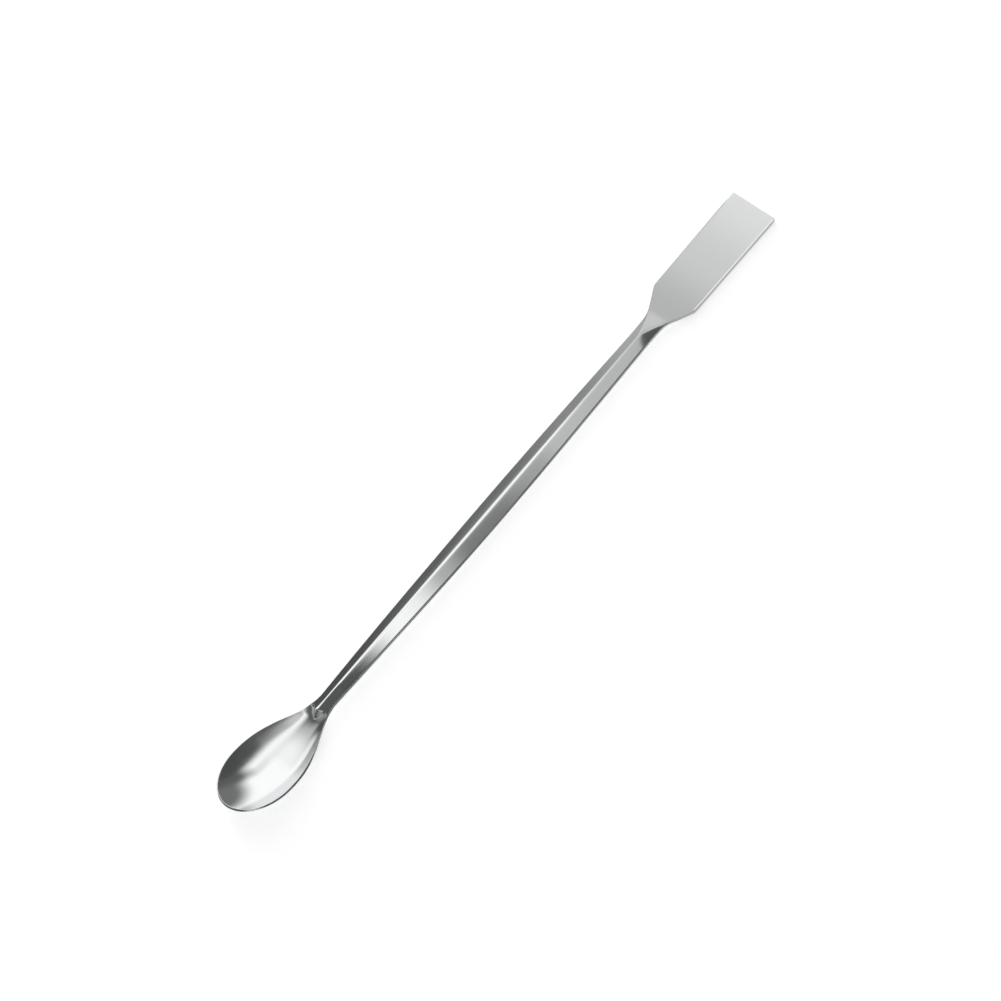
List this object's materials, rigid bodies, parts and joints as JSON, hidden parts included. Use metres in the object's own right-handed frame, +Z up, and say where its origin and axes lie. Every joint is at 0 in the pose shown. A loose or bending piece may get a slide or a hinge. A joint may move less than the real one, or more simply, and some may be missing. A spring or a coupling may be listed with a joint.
{
  "type": "lab spatula",
  "caption": "Double-ended lab spatula with a spoon bowl, a ridged handle and a flat blade, made as one piece of steel.",
  "frame": {"origin": "on the surface that the part lies on, below the middle of its bounding box", "axes": "+X along the handle from the bowl to the blade, +Z up, out of the hollow of the bowl; the part lies on the belly of the bowl and the end of the blade"},
  "size_m": [0.22, 0.0214, 0.0079],
  "materials": {
    "steel": "polished stainless steel"
  },
  "bodies": {
    "root": {"spatula": "steel"}
  },
  "joints": []
}
